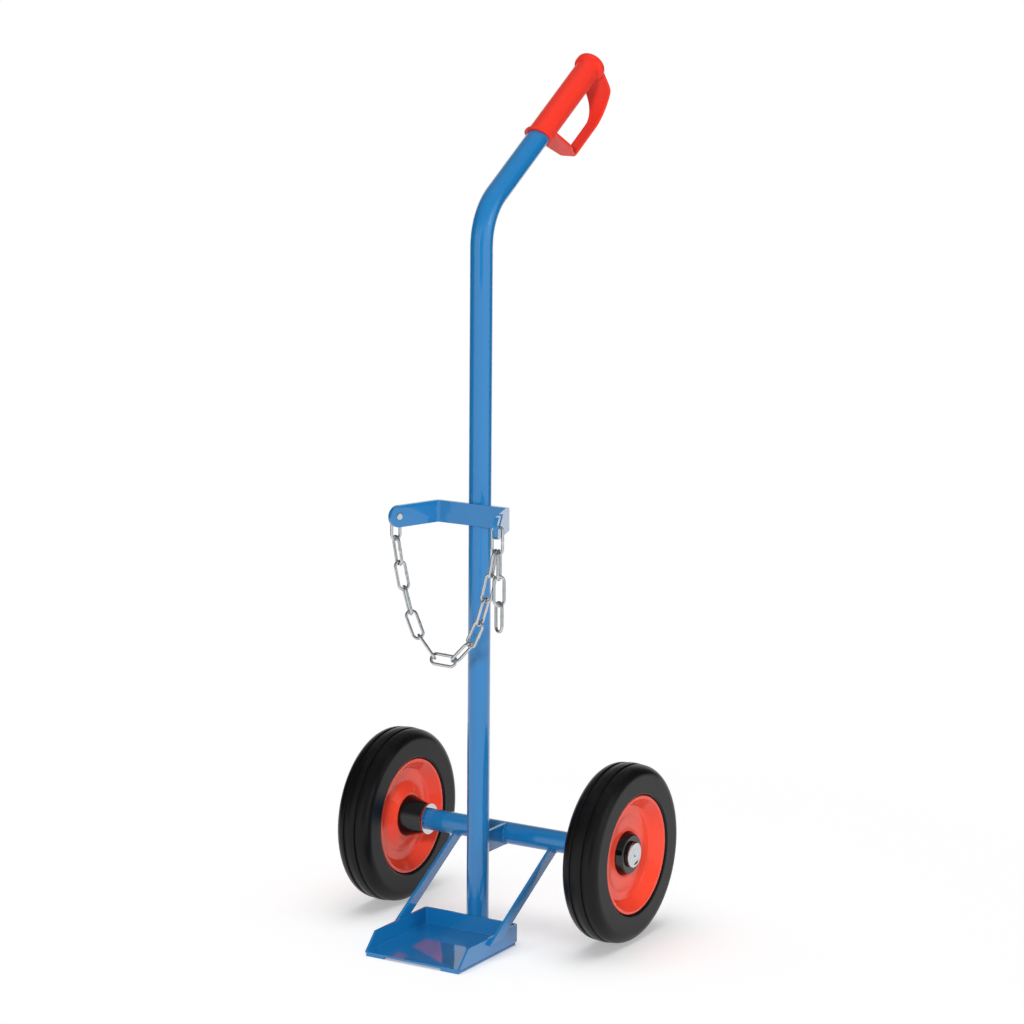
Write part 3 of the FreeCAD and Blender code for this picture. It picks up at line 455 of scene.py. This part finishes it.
def weld_lines():
    """The lines along which the frame's pieces are welded."""
    lines = []
    tube_low, tube_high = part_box("axle_tube")
    tube_r = (tube_high.z - tube_low.z) / 2
    tube_y, tube_z = (tube_low.y + tube_high.y) / 2, (tube_low.z + tube_high.z) / 2
    web_low, web_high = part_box("axle_web")
    bar_low, bar_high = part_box("cradle_bar")
    tray_low, tray_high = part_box("toe_tray")
    column_r = tube_r             # the column and the axle tube are the same stock
    column_y = web_low.y - column_r
    runs = [(low.z + inset[0], high.z - inset[1]) for low, high, inset in
            ((bar_low, bar_high, BAR_WELD_INSET), (tray_low, tray_high, TRAY_WELD_INSET))]
    for side in (-1, 1):
        web_x = side * web_high.x
        web_y = web_low.y + WEB_WELD_IN
        lines.append(straight((web_x, web_y, web_low.z), (web_x, web_y, web_high.z)))
        lines.append([Vector((web_x, tube_y - math.sqrt(tube_r ** 2 - (z - tube_z) ** 2), z))
                      for z in np.linspace(web_low.z, web_high.z, WELD_POINTS)])
        for low, high in runs:
            x = COLUMN_WELD_ASIDE * column_r * side
            y = column_y - COLUMN_WELD_FORWARD * column_r
            lines.append(straight((x, y, low), (x, y, high)))
    for name in SIDES:
        strut_low, strut_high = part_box("strut_" + name)
        for x in (strut_low.x, strut_high.x):
            lines.append([Vector((x, tube_y - tube_r * math.cos(turn), tube_z + tube_r * math.sin(turn)))
                          for turn in np.linspace(*np.radians(STRUT_WELD_ARC), WELD_POINTS)])
    return lines


def weld_beads():
    """All the beads as one piece on the frame."""
    source = bpy.data.meshes.new("weld_lines")
    points, edges = [], []
    for line in weld_lines():
        edges += [(len(points) + n, len(points) + n + 1) for n in range(len(line) - 1)]
        points += [tuple(p) for p in line]
    source.from_pydata(points, edges, [])
    beads = grown("weld_beads", source, bead_tree(),
                  {"Radius": BEAD_RADIUS, "Ripple Pitch": BEAD_RIPPLE_PITCH, "Ripple": BEAD_RIPPLE,
                   "Material": FINISHES["blue_paint"]})
    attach(beads, "frame")


weld_beads()


# Stage, lights and camera

FLOOR_HALF = 9
FLOOR_GREY = 0.78
FLOOR_GLOW = 0.385            # what the camera sees on top of the light that falls on the floor
FLOOR_BOUNCE = 0.10           # what the floor sends up at the trolley
SHADOW_REACH = (0.35, 1.1)    # from the origin: shadows fade out between the two
ROOM_LIGHT = (0.46, 0.20)     # level near the floor and overhead
ROOM_REFLECTED = (1.0, 0.22)
CEILING_FROM = (0.12, 0.62)   # rise of the view ray over which the first turns into the second
KEY_PLACE, KEY_TARGET = (1.5, -4.05, 2.1), (0, 0, 0.6)
SIDE_PLACE, SIDE_TARGET = (3.4, 0.0, 1.9), (0, 0, 0.5)
# name, place, target, size, watts, seen in gloss, what it does with the floor. The strong lamps only shade; the
# weak ones beside them give the glints.
LAMPS = (
    ("key", KEY_PLACE, KEY_TARGET, (0.6, 0.6), 104, False, "EXCLUDE"),
    ("side", SIDE_PLACE, SIDE_TARGET, (0.5, 0.9), 28, False, "EXCLUDE"),
    ("top", (0.2, 0.2, 3.6), (0, 0, 0.4), (2.4, 2.4), 20, False, None),
    ("key_glint", KEY_PLACE, KEY_TARGET, (0.3, 0.3), 9, True, "EXCLUDE"),
    ("side_glint", SIDE_PLACE, SIDE_TARGET, (0.25, 0.6), 14, True, "EXCLUDE"),
    ("floor_lamp", (-0.1, -0.2, 3.2), (0, 0, 0), (2.8, 2.8), 58, True, "INCLUDE"),
)
SCREENS = (                   # name, place, target, size
    ("screen_left", (-2.0, -0.5, 1.0), (0, 0, 0.9), (2.8, 2.8)),
    ("screen_right", (1.3, 2.0, 1.0), (0, 0, 0.9), (2.2, 2.8)),
    ("screen_behind_camera", (3.2, -5.4, 1.6), (0, 0, 0.8), (3.4, 3.0)),
)
CAMERA_PLACE = (2.37101, -3.961292, 1.46796)
CAMERA_TURN = (30.825, 10.843, 0.446)   # degrees: to the left of the trolley's front, down, about the view
CAMERA_LENS, CAMERA_SENSOR = 120.02, 36


def seen_directly(tree):
    """1 for the camera, a reflection or a clear surface that looks at the stage, and 0 for its light."""
    path = add(tree, "ShaderNodeLightPath").outputs
    return maths(tree, "MAXIMUM", maths(tree, "MAXIMUM", path["Is Camera Ray"], path["Is Glossy Ray"]),
                 path["Is Transmission Ray"])


def stage_floor():
    """White floor that shows the trolley's shadow near it and turns plain white further away."""
    mesh = bpy.data.meshes.new("floor")
    mesh.from_pydata([(x * FLOOR_HALF, y * FLOOR_HALF, 0) for x, y in ((-1, -1), (1, -1), (1, 1), (-1, 1))],
                     [], [(0, 1, 2, 3)])
    floor = bpy.data.objects.new("floor", mesh)
    bpy.context.scene.collection.objects.link(floor)
    material = bpy.data.materials.new("floor_white")
    material.use_nodes = True
    tree = material.node_tree
    tree.nodes.remove(tree.nodes["Principled BSDF"])
    seen = seen_directly(tree)
    matt = add(tree, "ShaderNodeBsdfDiffuse", {"Color": (FLOOR_GREY, FLOOR_GREY, FLOOR_GREY, 1)})
    glow = maths(tree, "ADD", maths(tree, "MULTIPLY", seen, FLOOR_GLOW - FLOOR_BOUNCE), FLOOR_BOUNCE)
    lift = add(tree, "ShaderNodeEmission", {"Strength": glow})
    near = add(tree, "ShaderNodeAddShader", {0: matt.outputs[0], 1: lift.outputs[0]})
    white = add(tree, "ShaderNodeEmission", {"Strength": 1.0})
    place = add(tree, "ShaderNodeTexCoord").outputs["Object"]
    away = add(tree, "ShaderNodeVectorMath", {0: place}, operation="LENGTH").outputs["Value"]
    far = add(tree, "ShaderNodeMapRange", {"Value": away, "From Min": SHADOW_REACH[0], "From Max": SHADOW_REACH[1]},
              interpolation_type="SMOOTHSTEP").outputs[0]
    blend = add(tree, "ShaderNodeMixShader",
                {"Fac": maths(tree, "MULTIPLY", far, seen), 1: near.outputs[0], 2: white.outputs[0]})
    tree.links.new(blend.outputs[0], tree.nodes["Material Output"].inputs["Surface"])
    mesh.materials.append(material)


def world_white():
    """White to the camera; to reflections white all round and dim overhead; a soft light to everything else."""
    world = bpy.data.worlds.new("white_room")
    bpy.context.scene.world = world
    world.use_nodes = True
    tree = world.node_tree
    ground = tree.nodes["Background"]
    ray = add(tree, "ShaderNodeTexCoord").outputs["Generated"]
    upward = add(tree, "ShaderNodeSeparateXYZ", {0: ray}).outputs["Z"]

    def by_height(levels):
        """A level near the floor that turns into another one overhead."""
        return add(tree, "ShaderNodeMapRange",
                   {"Value": upward, "From Min": CEILING_FROM[0], "From Max": CEILING_FROM[1],
                    "To Min": levels[0], "To Max": levels[1]}, interpolation_type="SMOOTHSTEP").outputs[0]

    light, reflected = by_height(ROOM_LIGHT), by_height(ROOM_REFLECTED)
    seen = seen_directly(tree)
    unseen = maths(tree, "SUBTRACT", 1.0, seen)
    strength = maths(tree, "ADD", maths(tree, "MULTIPLY", light, unseen), maths(tree, "MULTIPLY", reflected, seen))
    camera = add(tree, "ShaderNodeLightPath").outputs["Is Camera Ray"]
    ground.inputs["Color"].default_value = (1, 1, 1, 1)
    tree.links.new(maths(tree, "MAXIMUM", strength, camera), ground.inputs["Strength"])


def aimed(place, target):
    """A place with its -Z towards the target."""
    turn = (Vector(target) - Vector(place)).to_track_quat("-Z", "Y")
    return Matrix.Translation(place) @ turn.to_matrix().to_4x4()


def soft_box(name, place, target, size, energy):
    """A rectangular lamp, its energy in watts."""
    light = bpy.data.lights.new(name, "AREA")
    light.shape = "RECTANGLE"
    light.size, light.size_y = size
    light.energy = energy
    holder = bpy.data.objects.new(name, light)
    bpy.context.scene.collection.objects.link(holder)
    holder.matrix_world = aimed(place, target)
    return holder


def link_floor(lamp, state):
    """The lamp lights the floor alone (INCLUDE) or everything else (EXCLUDE), so that its shadows stay soft."""
    linked = bpy.data.collections.new(lamp.name + "_floor")
    linked.objects.link(bpy.data.objects["floor"])
    linked.collection_objects[0].light_linking.link_state = state
    lamp.light_linking.receiver_collection = linked


def dark_screen(material, name, place, target, size):
    """An upright dark screen beside the set, which only reflections see."""
    half_w, half_h = size[0] / 2, size[1] / 2
    mesh = bpy.data.meshes.new(name)
    corners = [(-half_w, -half_h, 0), (half_w, -half_h, 0), (half_w, half_h, 0), (-half_w, half_h, 0)]
    turned = aimed(place, target)
    mesh.from_pydata([tuple(turned @ Vector(corner)) for corner in corners], [], [(0, 1, 2, 3)])
    mesh.materials.append(material)
    screen = bpy.data.objects.new(name, mesh)
    bpy.context.scene.collection.objects.link(screen)
    screen.visible_camera = False
    screen.visible_diffuse = False
    screen.visible_transmission = False
    screen.visible_shadow = False


def screen_black():
    material = bpy.data.materials.new("screen_black")
    material.use_nodes = True
    shader = material.node_tree.nodes["Principled BSDF"]
    shader.inputs["Base Color"].default_value = (0.01, 0.01, 0.01, 1)
    shader.inputs["Roughness"].default_value = 1.0
    shader.inputs["Specular IOR Level"].default_value = 0.0
    return material


def photo_camera():
    """The photograph's viewpoint."""
    yaw, pitch, roll = (math.radians(v) for v in CAMERA_TURN)
    ahead = Vector((-math.sin(yaw) * math.cos(pitch), math.cos(yaw) * math.cos(pitch), -math.sin(pitch)))
    level = Vector((math.cos(yaw), math.sin(yaw), 0))
    upright = level.cross(ahead)
    right = level * math.cos(roll) + upright * math.sin(roll)
    up = upright * math.cos(roll) - level * math.sin(roll)
    lens = bpy.data.cameras.new("photo_camera")
    lens.sensor_width = CAMERA_SENSOR
    lens.lens = CAMERA_LENS
    lens.clip_end = 50
    camera = bpy.data.objects.new("photo_camera", lens)
    bpy.context.scene.collection.objects.link(camera)
    turn = Matrix((right, up, -ahead)).transposed().to_4x4()
    camera.matrix_world = Matrix.Translation(CAMERA_PLACE) @ turn
    bpy.context.scene.camera = camera


stage_floor()
world_white()
for lamp_name, lamp_place, lamp_target, lamp_size, watts, in_gloss, floor_state in LAMPS:
    lamp = soft_box(lamp_name, lamp_place, lamp_target, lamp_size, watts)
    lamp.visible_glossy = in_gloss
    if floor_state:
        link_floor(lamp, floor_state)
black = screen_black()
for screen_row in SCREENS:
    dark_screen(black, *screen_row)
photo_camera()
bpy.context.scene.view_settings.view_transform = "Standard"
